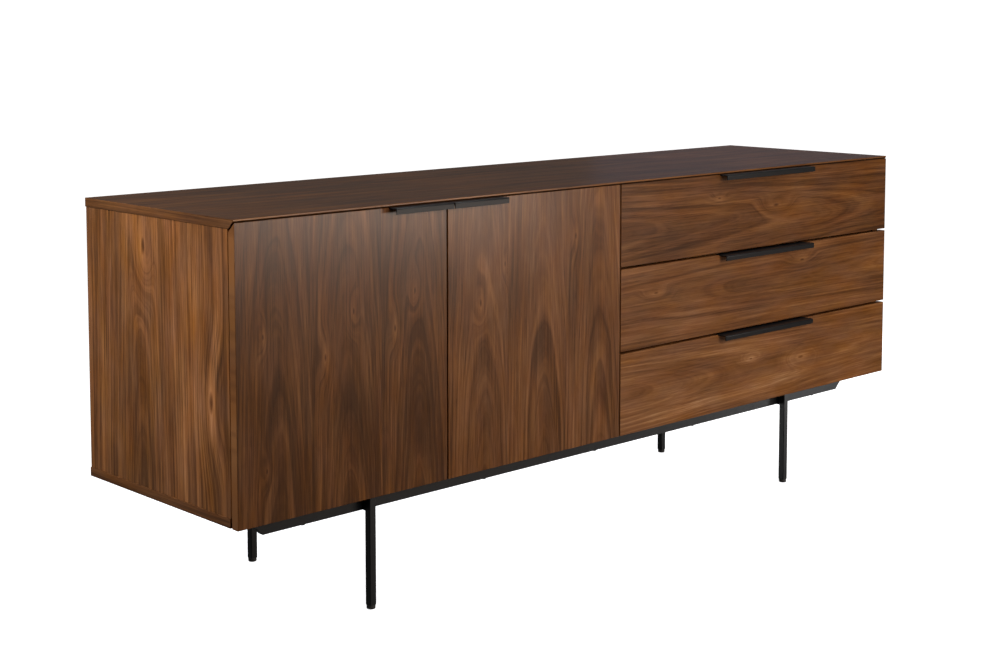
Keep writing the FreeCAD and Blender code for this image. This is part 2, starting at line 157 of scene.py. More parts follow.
place = add(figure, "ShaderNodeCombineXYZ",
            {"X": given["Across"], "Y": given["Along"], "Z": given["Leaf"]}).outputs[0]
wander = stretched_noise(figure, place, WANDER_WIDTH, WANDER_LENGTH, 2).outputs["Color"]
wander = add(figure, "ShaderNodeVectorMath", {0: wander, 1: (-0.5, -0.5, -0.5)},
             operation="ADD").outputs[0]
wander = add(figure, "ShaderNodeVectorMath", {0: wander, 1: WANDER},
             operation="MULTIPLY").outputs[0]
wander = add(figure, "ShaderNodeVectorMath", {0: wander, "Scale": given["Wild"]},
             operation="SCALE").outputs[0]
wander = add(figure, "ShaderNodeSeparateXYZ", {0: wander}).outputs
aside = add(figure, "ShaderNodeMath", {0: given["Across"], 1: given["Heart"]},
            operation="SUBTRACT").outputs[0]
aside = add(figure, "ShaderNodeMath", {0: aside, 1: wander["X"]}, operation="ADD").outputs[0]
below = add(figure, "ShaderNodeMath",
            {0: given["Along"], 1: given["Taper"], 2: given["Depth"]},
            operation="MULTIPLY_ADD").outputs[0]
below = add(figure, "ShaderNodeMath", {0: below, 1: wander["Z"]}, operation="ADD").outputs[0]
radius = add(figure, "ShaderNodeVectorMath",
             {0: add(figure, "ShaderNodeCombineXYZ", {"X": aside, "Y": below}).outputs[0]},
             operation="LENGTH").outputs["Value"]
radius = add(figure, "ShaderNodeMath", {0: radius, 1: given["Swell"]},
             operation="ADD").outputs[0]
ripple = stretched_noise(figure, place, RIPPLE_WIDTH, RIPPLE_LENGTH, 1).outputs["Fac"]
radius = add(figure, "ShaderNodeMath", {0: ripple, 1: RIPPLE, 2: radius},
             operation="MULTIPLY_ADD").outputs[0]
rings = add(figure, "ShaderNodeMath", {0: radius, 1: RING_WIDTH}, operation="DIVIDE").outputs[0]
print("ring group has", len(figure.nodes), "nodes so far")

# %% [markdown]
# Within one ring the wood darkens slowly and then ends in a thin dark line, where the next
# year starts. Good and bad years come in runs, so a slow noise that follows the rings makes
# lighter and darker bands of several years. Streaks are noise laid out by radius instead of by
# place, so they bend around the arches together with the rings.

# %% Lines that follow the rings
RING_PROFILE = [(0.0, "#bcbcbc"), (0.45, "#b8b8b8"), (0.8, "#a0a0a0"), (0.92, "#747474"),
                (1.0, "#bcbcbc")]
YEARS_SCALE = 0.45             # good and bad years last a few rings
STREAK_WIDTH = 4.5 * MM        # measured across the rings, so it widens over the heart
STREAK_LENGTH = 380 * MM
LINE_WEIGHTS = (0.24, 0.26, 0.66)    # rings, runs of years, streaks

within = add(figure, "ShaderNodeMath", {0: rings}, operation="FRACT").outputs[0]
profile = add(figure, "ShaderNodeValToRGB", {0: within})
set_ramp(profile, RING_PROFILE)
flow = add(figure, "ShaderNodeCombineXYZ",
           {"X": radius, "Y": given["Along"], "Z": given["Leaf"]}).outputs[0]
years = add(figure, "ShaderNodeTexNoise",
            {"W": rings, "Scale": YEARS_SCALE, "Detail": 1.0},
            noise_dimensions="1D").outputs["Fac"]
streaks = stretched_noise(figure, flow, STREAK_WIDTH, STREAK_LENGTH, 5).outputs["Fac"]
lines = add(figure, "ShaderNodeCombineXYZ",
            {"X": profile.outputs[0], "Y": years, "Z": streaks}).outputs[0]
lines = add(figure, "ShaderNodeVectorMath", {0: lines, 1: LINE_WEIGHTS},
            operation="DOT_PRODUCT").outputs["Value"]
print("line weights add up to", round(sum(LINE_WEIGHTS), 2))

# %% [markdown]
# Three layers lie over these lines: broad clouds of colour, fine threads that keep straight
# along the grain, and open pores, which are short dark dashes. All of it is collected in a
# single number, the tone, because one number can later be turned into colour, gloss and bump
# alike. Real walnut also wanders in hue, between olive and rose, which one number can't hold,
# so a slow drift is handed out beside it.

# %% Clouds, threads and pores
CLOUD_WIDTH = 60 * MM
CLOUD_LENGTH = 220 * MM
CLOUD_WEIGHT = 0.42
THREAD_WIDTH = 2.4 * MM        # fine straight threads along the grain
THREAD_LENGTH = 160 * MM
THREAD_WEIGHT = 0.44
PORE_WIDTH = 1.0 * MM          # true pores are 0.2 mm; drawn this coarse so that they show
PORE_LENGTH = 26 * MM
PORE_WEIGHT = -0.09            # pores darken
PORE_START, PORE_FULL = 0.56, 0.70    # only the peaks of the noise become pores
DRIFT_WIDTH = 30 * MM          # slow changes of hue
DRIFT_LENGTH = 110 * MM

clouds = stretched_noise(figure, place, CLOUD_WIDTH, CLOUD_LENGTH, 3).outputs["Fac"]
threads = stretched_noise(figure, place, THREAD_WIDTH, THREAD_LENGTH, 2).outputs["Fac"]
pores = stretched_noise(figure, place, PORE_WIDTH, PORE_LENGTH, 1).outputs["Fac"]
pores = add(figure, "ShaderNodeMapRange", {0: pores, 1: PORE_START, 2: PORE_FULL}).outputs[0]
tone = lines
for layer, weight in ((clouds, CLOUD_WEIGHT), (threads, THREAD_WEIGHT), (pores, PORE_WEIGHT)):
    tone = add(figure, "ShaderNodeMath", {0: layer, 1: weight, 2: tone},
               operation="MULTIPLY_ADD").outputs[0]
tone = add(figure, "ShaderNodeMath", {0: tone, 1: given["Shade"]},
           operation="SUBTRACT").outputs[0]
drift = stretched_noise(figure, place, DRIFT_WIDTH, DRIFT_LENGTH, 2).outputs["Color"]
add(figure, "NodeGroupOutput", {"Tone": tone, "Pores": pores, "Drift": drift})
print("ring group has", len(figure.nodes), "nodes")

# %% [markdown]
# ## One sheet per board
#
# A material reads the position of a point in the object's own space, so the grain stays put
# when a door swings. The three axes are swapped so that the veneer's "along" follows each
# board's grain. A wide board is covered by several leaves side by side, so the position across
# is folded into leaves of a given width.
#
# A knot is the stump of a branch. The rings part around it as water parts around a stone, so
# each knot adds a swelling to the rings. It also adds a shade, with a dark core inside a pale
# halo.

# %% Knots
NO_SHADE = "#959595"
KNOT_SHADE = [(0.0, "#bcbcbc"), (0.12, "#a8a8a8"), (0.26, "#6c6c6c"), (0.55, "#7e7e7e"),
              (1.0, NO_SHADE)]
KNOT_REACH = 2.6               # how many knot sizes away the rings still bend
KNOT_ASPECT = 0.33             # a knot's width as a share of its length


def knots_at(tree, side, run, knots):
    """Swelling and shade, summed over knots given as (across, along, size) in metres."""
    swell, shade = 0.0, 0.0
    for knot_side, knot_run, size in knots:
        reach = add(tree, "ShaderNodeCombineXYZ", {"X": side, "Y": run}).outputs[0]
        reach = add(tree, "ShaderNodeVectorMath", {0: reach, 1: (-knot_side, -knot_run, 0)},
                    operation="ADD").outputs[0]
        reach = add(tree, "ShaderNodeVectorMath",
                    {0: reach, 1: (1 / size, KNOT_ASPECT / size, 0)},
                    operation="MULTIPLY").outputs[0]
        reach = add(tree, "ShaderNodeVectorMath", {0: reach}, operation="LENGTH").outputs["Value"]
        bulge = add(tree, "ShaderNodeMapRange", {0: reach, 1: 0.0, 2: KNOT_REACH, 3: size, 4: 0.0},
                    interpolation_type="SMOOTHERSTEP").outputs[0]
        dark = add(tree, "ShaderNodeValToRGB", {0: reach})
        set_ramp(dark, KNOT_SHADE)
        dark = add(tree, "ShaderNodeMath", {0: dark.outputs[0], 1: hex_linear(NO_SHADE)[0]},
                   operation="SUBTRACT").outputs[0]
        swell = add(tree, "ShaderNodeMath", {0: bulge, 1: swell}, operation="ADD").outputs[0]
        shade = add(tree, "ShaderNodeMath", {0: dark, 1: shade}, operation="ADD").outputs[0]
    return swell, shade


print("rings bend up to", KNOT_REACH, "knot sizes away")

# %% [markdown]
# The tone picks a colour from a ramp of walnut browns, from the dark line of a ring to pale
# summer wood. Veneer is sealed with satin lacquer, which is a second, smoother layer over the
# wood, so the shader's coat stands for it. The pores stay open under the lacquer, and a faint
# bump lets them break up the gleam.

# %% Veneer material
WALNUT_TONES = [(0.0, "#351e0e"), (0.28, "#4f2e16"), (0.48, "#693f20"), (0.66, "#80502b"),
                (0.84, "#98653c"), (1.0, "#b58657")]
TONE_CENTRE = 1.02             # what the group gives on average
TONE_SPREAD = 0.36             # from there to either end of the ramp, at contrast 1
LEAF_STEP = 0.35               # how far the noise shifts from one leaf to the next
HUE_DRIFT = 0.006              # either way from the neutral hue, which is 0.5
SATURATION_DRIFT = 0.1
PORE_DEPTH = 0.15 * MM
DARK_ROUGHNESS, PALE_ROUGHNESS = 0.6, 0.5    # of the wood itself, under the lacquer
AXES = {"x": 0, "y": 1, "z": 2}


def veneer(name, across, along, heart, depth, taper, leaf=10.0, start=0.0, tone=0.0, seed=0.0,
           contrast=0.85, wild=1.0, rich=1.0, coat=0.36, knots=()):
    """Satin walnut veneer with its own cut; leaf is the leaves' width, rich the saturation."""
    material, shader = new_material(name, IOR=1.5, Specular_IOR_Level=0.1, Coat_Weight=coat,
                                    Coat_Roughness=0.24)
    tree = material.node_tree
    spot = add(tree, "ShaderNodeSeparateXYZ",
               {0: add(tree, "ShaderNodeTexCoord").outputs["Object"]}).outputs
    side, run = spot[AXES[across]], spot[AXES[along]]
    shifted = add(tree, "ShaderNodeMath", {0: side, 1: start}, operation="SUBTRACT").outputs[0]
    counted = add(tree, "ShaderNodeMath", {0: shifted, 1: leaf}, operation="DIVIDE").outputs[0]
    number = add(tree, "ShaderNodeMath", {0: counted}, operation="FLOOR").outputs[0]
    local = add(tree, "ShaderNodeMath", {0: shifted, 1: leaf},
                operation="FLOORED_MODULO").outputs[0]
    field = add(tree, "ShaderNodeMath", {0: number, 1: LEAF_STEP, 2: seed},
                operation="MULTIPLY_ADD").outputs[0]
    swell, shade = knots_at(tree, side, run, knots)
    wood = add(tree, "ShaderNodeGroup",
               {"Across": local, "Along": run, "Leaf": field, "Heart": heart, "Depth": depth,
                "Taper": taper, "Wild": wild, "Swell": swell, "Shade": shade},
               node_tree=figure)
    level = add(tree, "ShaderNodeMapRange",
                {0: wood.outputs["Tone"], 1: TONE_CENTRE - TONE_SPREAD / contrast,
                 2: TONE_CENTRE + TONE_SPREAD / contrast, 3: tone, 4: 1.0 + tone},
                clamp=False).outputs[0]
    colour = add(tree, "ShaderNodeValToRGB", {0: level})
    set_ramp(colour, WALNUT_TONES)
    drift = add(tree, "ShaderNodeSeparateXYZ", {0: wood.outputs["Drift"]}).outputs
    hue = add(tree, "ShaderNodeMapRange",
              {0: drift["X"], 3: 0.5 - HUE_DRIFT, 4: 0.5 + HUE_DRIFT}).outputs[0]
    saturation = add(tree, "ShaderNodeMapRange",
                     {0: drift["Y"], 3: rich - SATURATION_DRIFT,
                      4: rich + SATURATION_DRIFT}).outputs[0]
    tinted = add(tree, "ShaderNodeHueSaturation",
                 {"Hue": hue, "Saturation": saturation, "Color": colour.outputs[0]})
    tree.links.new(tinted.outputs[0], shader.inputs["Base Color"])
    gloss = add(tree, "ShaderNodeMapRange",
                {0: level, 1: 0.0, 2: 1.0, 3: DARK_ROUGHNESS, 4: PALE_ROUGHNESS})
    tree.links.new(gloss.outputs[0], shader.inputs["Roughness"])
    height = add(tree, "ShaderNodeMath", {0: wood.outputs["Pores"], 1: -1.0, 2: level},
                 operation="MULTIPLY_ADD").outputs[0]
    bump = add(tree, "ShaderNodeBump",
               {"Strength": 0.25, "Distance": PORE_DEPTH, "Height": height})
    tree.links.new(bump.outputs[0], shader.inputs["Normal"])
    return material


print("veneer material ready")

# %% [markdown]
# Every board gets its own cut from the log. The heart sits where the arches of that board
# stand, a small depth gives broad open arches, and a larger one gives narrow straight lines.
# The thin edges are covered with edging strip, which is cut straight: its heart is half a
# metre away, so the rings cross it as parallel lines.

# %% A cut for each board
FACE_CUTS = {
    "left_door": dict(across="x", along="z", heart=0.082, depth=0.03, taper=0.062, leaf=0.150,
                      start=-0.900, seed=1.3, tone=-0.10, wild=0.55,
                      knots=((-0.845, 0.52, 0.008), (-0.66, 0.54, 0.009), (-0.72, 0.47, 0.010),
                             (-0.525, 0.56, 0.009), (-0.57, 0.50, 0.010), (-0.84, 0.30, 0.007))),
    "right_door": dict(across="x", along="z", heart=0.095, depth=0.03, taper=0.065, leaf=0.152,
                       start=-0.455, seed=4.1, tone=0.03, wild=0.55,
                       knots=((-0.37, 0.52, 0.011), (-0.125, 0.62, 0.010), (-0.31, 0.585, 0.008))),
    "top_drawer_front": dict(across="z", along="x", heart=0.61, depth=0.05, taper=0.035,
                             seed=2.2, tone=0.0, wild=0.7,
                             knots=((0.632, 0.49, 0.014), (0.66, 0.30, 0.008))),
    # The higher tones of the middle and bottom fronts are painted light: the lower fronts are
    # lighter, standing in for light that falls on them.
    "middle_drawer_front": dict(across="z", along="x", heart=0.47, depth=0.05, taper=-0.035,
                                seed=7.7, tone=0.09, wild=0.7, contrast=0.78,
                                knots=((0.485, 0.105, 0.010), (0.505, 0.585, 0.012))),
    "bottom_drawer_front": dict(across="z", along="x", heart=0.29, depth=0.045, taper=0.04,
                                seed=9.4, tone=0.2, wild=0.7, contrast=0.78,
                                knots=((0.29, 0.585, 0.014), (0.31, 0.41, 0.008))),
    # The top panel's low tone is painted shade: the top is darker because little light falls on
    # it.
    "top_panel": dict(across="y", along="x", heart=0.11, depth=0.05, taper=0.03, leaf=0.228,
                      start=-0.2175, seed=3.0, tone=-0.2, rich=1.1, coat=0.38),
    "bottom_panel": dict(across="y", along="x", heart=0.1, depth=0.05, taper=0.03, leaf=0.23,
                         start=-0.2, seed=5.0),
    "left_side_panel": dict(across="y", along="z", heart=0.262, depth=0.02, taper=0.06, leaf=0.45,
                            start=-0.2, seed=6.4, tone=-0.03, wild=0.15, contrast=1.0,
                            knots=((0.052, 0.646, 0.022), (-0.147, 0.41, 0.026))),
    "right_side_panel": dict(across="y", along="z", heart=0.1, depth=0.05, taper=0.05, leaf=0.22,
                             start=-0.2, seed=8.0, tone=0.05),
    "divider_panel": dict(across="y", along="z", heart=0.1, depth=0.05, taper=0.05, leaf=0.22,
                          start=-0.2, seed=11.0),
    "left_back_panel": dict(across="x", along="z", heart=0.1, depth=0.05, taper=0.05, leaf=0.2,
                            start=-0.9, seed=12.0),
    "right_back_panel": dict(across="x", along="z", heart=0.1, depth=0.05, taper=0.05, leaf=0.2,
                             start=0.0, seed=13.0),
    "shelf": dict(across="y", along="x", heart=0.1, depth=0.05, taper=0.03, leaf=0.2,
                  start=-0.2, seed=14.0),
}
face_veneers = {node: veneer(node + "_walnut_veneer", **cut) for node, cut in FACE_CUTS.items()}
edging = {
    "x": veneer("walnut_edging_along_x", "z", "x", heart=0.5, depth=0.02, taper=0.0, tone=0.15,
                contrast=0.8),
    "y": veneer("walnut_edging_along_y", "z", "y", heart=0.5, depth=0.02, taper=0.0, tone=-0.12,
                contrast=0.8),
    "z": veneer("walnut_edging_along_z", "x", "z", heart=0.5, depth=0.02, taper=0.0, tone=0.14,
                contrast=0.8),
}
# Painted shade: a dark sheet without lacquer on the mitres stands in for the shadow in the gap
# under the top.
mitre_painted_shade = veneer("walnut_mitre_painted_shade", "z", "x", heart=0.5, depth=0.02, taper=0.0,
                       tone=-0.6, contrast=0.8, coat=0.0)
print(len(face_veneers), "face veneers and", len(edging), "edgings")

# %% [markdown]
# A board's two broad faces carry the face veneer and every other face carries edging that runs
# lengthwise. We can tell them apart by their normals: the broad faces look along the board's
# thinnest direction. A mitred rim looks at 45 degrees. It carries a dark sheet of painted shade
# instead of edging, which stands in for the shadow inside the gap between the top and the
# fronts, so that the joint reads as one thin line.

# %% Put the veneer on the boards
BROAD_FACE = 0.9               # least share of a broad face's normal along the thin direction
MITRE_EVENNESS = 0.02          # a mitre's normal is shared this evenly between y and z
MITRE_TURN = 0.1               # most that a mitre's normal turns to x
MITRE_SHEET = 4                # place of the mitre's painted-shade sheet in the list below


def sheet_number(normal, extent):
    """Which of a board's five sheets covers a face: 0 is the face veneer, 1 to 3 the edgings."""
    thin = min("xyz", key=lambda a: extent[AXES[a]])
    if abs(normal[AXES[thin]]) > BROAD_FACE:
        return 0
    if abs(abs(normal.y) - abs(normal.z)) < MITRE_EVENNESS and abs(normal.x) < MITRE_TURN:
        return MITRE_SHEET
    facing = max("xyz", key=lambda a: abs(normal[AXES[a]]) if a != thin else -1)
    lengthwise = next(a for a in "xyz" if a not in (thin, facing))
    return 1 + AXES[lengthwise]


for node, material in face_veneers.items():
    low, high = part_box(node)
    mesh = parts[node].data
    mesh.materials.clear()
    for sheet in (material, edging["x"], edging["y"], edging["z"], mitre_painted_shade):
        mesh.materials.append(sheet)
    for face in mesh.polygons:
        face.material_index = sheet_number(face.normal, high - low)
print("veneer on", ", ".join(sorted(face_veneers)))

# %% [markdown]
# ## Steel, plastic and plywood
#
# The pulls are mild steel, blackened and lacquered, so they keep a faint metallic gleam and a
# hint of the brushing underneath. The underframe is powder coated: the powder melts into a
# skin with a fine orange peel, which scatters the highlights. Hinges are pressed steel with a
# nickel plate, slides are rolled steel with a brighter, slightly cloudy zinc plate. The glides
# are moulded grey nylon, and the drawer boxes are lacquered birch plywood.

# %% One recipe for the plain finishes
COLOUR_STOPS = (0.3, 0.7)      # where the noise reaches the dark and the light colour
GLOSS_STOPS = (0.25, 0.75)     # and where it reaches the two roughnesses


def patterned(name, light, dark, spot_size, stretch, gloss, bump_height, **shader_values):
    """Material with fine spots between two colours; stretch lengthens the spots along x, y, z."""
    material, shader = new_material(name, **shader_values)
    tree = material.node_tree
    scaled = add(tree, "ShaderNodeVectorMath",
                 {0: add(tree, "ShaderNodeTexCoord").outputs["Object"],
                  1: tuple(1 / (spot_size * s) for s in stretch)}, operation="MULTIPLY").outputs[0]
    spots = add(tree, "ShaderNodeTexNoise",
                {"Vector": scaled, "Scale": 1.0, "Detail": 3.0, "Roughness": 0.6}).outputs["Fac"]
    colour = add(tree, "ShaderNodeValToRGB", {0: spots})
    set_ramp(colour, list(zip(COLOUR_STOPS, (dark, light))))
    tree.links.new(colour.outputs[0], shader.inputs["Base Color"])
    rough = add(tree, "ShaderNodeMapRange",
                {0: spots, 1: GLOSS_STOPS[0], 2: GLOSS_STOPS[1], 3: gloss[0], 4: gloss[1]})
    tree.links.new(rough.outputs[0], shader.inputs["Roughness"])
    bump = add(tree, "ShaderNodeBump", {"Strength": 0.4, "Distance": bump_height, "Height": spots})
    tree.links.new(bump.outputs[0], shader.inputs["Normal"])
    return material


print("recipe ready")

# %% Steel and plastic
BRUSH_WIDTH = 0.8 * MM

blackened_steel = patterned("blackened_brushed_steel", "#181819", "#101011", BRUSH_WIDTH,
                            (40, 1, 1), (0.4, 0.52), 0.02 * MM, Metallic=0.2,
                            Specular_IOR_Level=0.35, Coat_Weight=0.08, Coat_Roughness=0.4)
powder_coat = patterned("black_powder_coat", "#161617", "#101011", 1.6 * MM, (1, 1, 1),
                        (0.36, 0.5), 0.06 * MM, IOR=1.5)
nickel_plate = patterned("nickel_plated_pressed_steel", "#cfcdc8", "#c4c2bc", 0.7 * MM, (1, 1, 1),
                         (0.3, 0.36), 0.002 * MM, Metallic=0.9)
zinc_plate = patterned("zinc_plated_rolled_steel", "#c6cacd", "#b2b7bb", 1.5 * MM, (1, 20, 1),
                       (0.32, 0.42), 0.004 * MM, Metallic=0.9)
nylon = patterned("moulded_grey_nylon", "#3a3633", "#2e2b29", 1.2 * MM, (1, 1, 1),
                  (0.5, 0.62), 0.03 * MM, IOR=1.53)
print("five plain finishes ready")

# %% Birch plywood for the drawer boxes
birch = {axis: patterned("lacquered_birch_ply_along_" + axis, "#cfae84", "#b9946a", 4 * MM,
                         tuple(60 if a == axis else 1 for a in "xyz"), (0.36, 0.48), 0.03 * MM,
                         IOR=1.5)
         for axis in "xy"}
print("birch plywood ready")

# %% [markdown]
# Each remaining part takes the finish of its material slot. The boards of a drawer box have
# their grain lengthwise: the sides run front to back, the back and the bottom run left to right.

# %% Hand out the finishes
SLOT_FINISH = {"pull_steel": blackened_steel, "frame_steel": powder_coat,
               "hinge_steel": nickel_plate, "slide_steel": zinc_plate,
               "fastener_steel": zinc_plate, "glide_plastic": nylon}
for node, part in parts.items():
    if node in face_veneers:
        continue
    finish = SLOT_FINISH.get(slots[node])
    if finish is None:
        finish = birch["y" if node.endswith("_side") else "x"]
    part.data.materials.clear()
    part.data.materials.append(finish)
print("finishes on", len(parts) - len(face_veneers), "parts")

# %% [markdown]
# ## Softened arrises
#
# No board leaves a workshop with a razor edge: the arris is broken with fine paper, and that
# narrow rounding is what catches the light along every edge. The loaded meshes may not be
# edited, but a modifier is free to round them while rendering. The triangles of a flat face
# are merged first, so that the bevel finds only the true edges.

# %% Round the edges
BOARD_ARRIS = 0.7 * MM
STEEL_ARRIS = 0.35 * MM
SHARP = math.radians(30)


def soften(part, width):
    """Rounds the sharp edges of a part by width, with modifiers alone."""
    weld = part.modifiers.new("join corners", "WELD")
    weld.merge_threshold = 0.01 * MM
    flat = part.modifiers.new("merge flat faces", "DECIMATE")
    flat.decimate_type = "DISSOLVE"
    flat.angle_limit = math.radians(0.5)
    flat.delimit = {"MATERIAL"}
    bevel = part.modifiers.new("broken arris", "BEVEL")
    bevel.width = width
    bevel.segments = 2
    bevel.limit_method = "ANGLE"
    bevel.angle_limit = SHARP
    bevel.use_clamp_overlap = True


for node, part in parts.items():
    if slots[node] in ("walnut_veneer", "drawer_box_board"):
        soften(part, BOARD_ARRIS)
    elif slots[node] in ("pull_steel", "frame_steel"):
        soften(part, STEEL_ARRIS)
print("arrises broken")

# %% [markdown]
# ## Screws
#
# The frame leaves the small fixings to us. A screw head is a stack of rings: a round foot, a
# round shoulder, and then the outline of the drive, first at the top of the head and once more
# at the bottom of the recess. The only difference between a cross and a hexagon is how far the
# outline reaches in each direction, so a short function of the angle describes either. Both
# have their corners at multiples of 15 degrees, and that is the step around every ring.

# %% Screw heads
RING_STEP = 15                 # degrees
CROSS_REACH = 0.62             # of the arms of a cross, as a share of the head's radius
CROSS_HALF = 0.17              # half the width of an arm
HEXAGON_HALF = 0.5             # half a hexagon's width across its flats


def cross_reach(angle):
    """Reach of a cross recess, as a share of the head's radius."""
    off_arm = abs((angle + 45) % 90 - 45)
    if off_arm < RING_STEP / 2:
        return CROSS_REACH
    return min(CROSS_REACH, CROSS_HALF / math.sin(math.radians(off_arm)))


def hexagon_reach(angle):
    """Reach of a hexagon socket, as a share of the head's radius."""
    return HEXAGON_HALF / math.cos(math.radians((angle + 30) % 60 - 30))


def round_reach(angle):
    """Reach of a plain round ring."""
    return 1.0


def add_head(shape, radius, height, drive):
    """Adds one screw head to a mesh, standing on the origin; returns its corners."""
    # Outline, size of the outline, and level as a share of the head's height.
    rings = [(round_reach, 1.0, 0.0), (round_reach, 1.0, 0.3), (round_reach, 0.88, 0.7),
             (round_reach, 0.72, 0.95), (drive, 1.0, 1.0), (drive, 0.82, 0.15)]
    loops = []
    for reach, scale, level in rings:
        loops.append([shape.verts.new((radius * scale * reach(a) * math.cos(math.radians(a)),
                                       radius * scale * reach(a) * math.sin(math.radians(a)),
                                       height * level)) for a in range(0, 360, RING_STEP)])
    count = len(loops[0])
    for lower, upper in zip(loops, loops[1:]):
        for i in range(count):
            j = (i + 1) % count
            shape.faces.new((lower[i], lower[j], upper[j], upper[i]))
    shape.faces.new(reversed(loops[0]))
    bottom = shape.verts.new((0, 0, height * rings[-1][2]))
    for i in range(count):
        shape.faces.new((loops[-1][i], loops[-1][(i + 1) % count], bottom))
    return [vert for loop in loops for vert in loop] + [bottom]


def screw_heads(name, places, out, size, drive, body, slot):
    """One piece with a screw head at each place; out is the direction that the heads face."""
    turned = Vector(out).to_track_quat("Z", "X").to_matrix().to_4x4()
    shape = bmesh.new()
    for place in places:
        bmesh.ops.transform(shape, matrix=Matrix.Translation(place) @ turned,
                            verts=add_head(shape, *size, drive))
    for line in shape.edges:
        line.smooth = line.calc_face_angle(0.0) < SHARP
    for face in shape.faces:
        face.smooth = True
    mesh = bpy.data.meshes.new(name)
    shape.to_mesh(mesh)
    shape.free()
    piece = bpy.data.objects.new(name, mesh)
    bpy.context.scene.collection.objects.link(piece)
    mesh.materials.append(SLOT_FINISH[slot])
    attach(piece, body)


print("a ring of a screw head has", 360 // RING_STEP, "corners")

# %% [markdown]
# Each hinge is held by two screws through the cup's flange, two through the mounting plate, and
# two smaller ones that clamp and adjust the arm. The pulls are fixed with flat screws in the
# flange, which lies level on the lower drawers and at 45 degrees in the mitre of the top drawer
# and the doors. The rails hang from the bottom panel by five hexagon screws each. Places are
# worked out from the parts' own boxes.

# %% Screws of the hinges
PLATE_HALF = 25 * MM           # half the height of a mounting plate
CUP_HALF = 28 * MM             # half the height of a cup's flange
ARM_THICKNESS = 6 * MM
PLATE_SPAN = (-16 * MM, 16 * MM)      # the two screws of a plate, from its middle
ARM_SPAN = (-9 * MM, 9 * MM)
CUP_SPAN = (-22.8 * MM, 22.8 * MM)
PLATE_SCREW = (3.6 * MM, 2.2 * MM)    # radius and height of the head
ARM_SCREW = (2.9 * MM, 1.5 * MM)
CUP_SCREW = (3.2 * MM, 1.6 * MM)

for side, inward in (("left", 1), ("right", -1)):
    low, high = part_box(side + "_hinge_plates")
    face_x = high.x if inward > 0 else low.x
    heights = (low.z + PLATE_HALF, high.z - PLATE_HALF)
    middle_y = (low.y + high.y) / 2
    screw_heads(side + "_hinge_plate_screws",
                [(face_x, middle_y, z + step) for z in heights for step in PLATE_SPAN],
                (inward, 0, 0), PLATE_SCREW, cross_reach, "carcass", "fastener_steel")
    screw_heads(side + "_hinge_arm_screws",
                [(face_x + inward * ARM_THICKNESS, middle_y + step, z)
                 for z in heights for step in ARM_SPAN],
                (inward, 0, 0), ARM_SCREW, cross_reach, "carcass", "fastener_steel")
    low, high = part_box(side + "_hinge_cups")
    heights = (low.z + CUP_HALF, high.z - CUP_HALF)
    screw_heads(side + "_hinge_cup_screws",
                [((low.x + high.x) / 2, high.y, z + step) for z in heights for step in CUP_SPAN],
                (0, 1, 0), CUP_SCREW, cross_reach, side + "_door", "fastener_steel")
print("hinge screws placed")

# %% Screws of the pulls and the rails
FLANGE = 14 * MM               # depth of a pull's flange
PULL_SCREW = (2.8 * MM, 0.25 * MM)    # a countersunk head hardly stands proud
PULL_SCREW_INSET = 22 * MM     # from the ends of a pull
LONG_PULL = 200 * MM           # a longer pull has a third screw at its middle
RAIL_SCREW = (4.4 * MM, 2.4 * MM)
RAIL_SCREW_PLACES = (-0.72, -0.3, 0.0, 0.3, 0.72)

for body, mitred in (("left_door", True), ("right_door", True), ("top_drawer", True),
                     ("middle_drawer", False), ("bottom_drawer", False)):
    low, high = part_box(body + "_pull")
    spots = [low.x + PULL_SCREW_INSET, high.x - PULL_SCREW_INSET]
    if high.x - low.x > LONG_PULL:
        spots.append((low.x + high.x) / 2)
    back = FLANGE / 2 * (math.sqrt(0.5) if mitred else 1.0)
    level = high.z - (back if mitred else 0.0)
    screw_heads(body + "_pull_screws", [(x, high.y - back, level) for x in spots],
                (0, 1, 1) if mitred else (0, 0, 1), PULL_SCREW, cross_reach, body,
                "pull_steel")
for rail in ("front_rail", "rear_rail"):
    low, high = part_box(rail)
    screw_heads(rail + "_screws",
                [(x, (low.y + high.y) / 2, low.z) for x in RAIL_SCREW_PLACES],
                (0, 0, -1), RAIL_SCREW, hexagon_reach, "carcass", "frame_steel")
print("pull and rail screws placed")

# %% [markdown]
# ## Floor, light and camera
#
# Furniture is often shown in a white cove: the floor runs up into the wall in one sweep, so no
# line shows behind the case. Ours is one surface turned around the upright axis, large enough
# for every camera. It glows pure white, so it needs no lamp and takes no shadow, and it sends
# no light to the case.

# %% White cove
COVE_RADIUS = 12.0
COVE_SWEEP = 4.0               # radius of the curve from floor to wall
COVE_HEIGHT = 12.0
COVE_STEPS = 16                # along the curve
COVE_SIDES = 96                # around the upright axis

shape = bmesh.new()
path = [Vector((0, 0, 0)), Vector((COVE_RADIUS - COVE_SWEEP, 0, 0))]
for step in range(1, COVE_STEPS + 1):
    angle = math.pi / 2 * step / COVE_STEPS
    path.append(Vector((COVE_RADIUS - COVE_SWEEP + COVE_SWEEP * math.sin(angle), 0,
                        COVE_SWEEP * (1 - math.cos(angle)))))
path.append(Vector((COVE_RADIUS, 0, COVE_HEIGHT)))
corners = [shape.verts.new(point) for point in path]
profile_edges = [shape.edges.new(pair) for pair in zip(corners, corners[1:])]
bmesh.ops.spin(shape, geom=corners + profile_edges, cent=(0, 0, 0), axis=(0, 0, 1),
               angle=2 * math.pi, steps=COVE_SIDES, use_merge=True)
bmesh.ops.remove_doubles(shape, verts=shape.verts, dist=MM)
bmesh.ops.recalc_face_normals(shape, faces=shape.faces)
cove_mesh = bpy.data.meshes.new("white_cove")
shape.to_mesh(cove_mesh)
shape.free()
for face in cove_mesh.polygons:
    face.use_smooth = True
cove = bpy.data.objects.new("white_cove", cove_mesh)
bpy.context.scene.collection.objects.link(cove)
cove.visible_glossy = False
cove.visible_diffuse = False
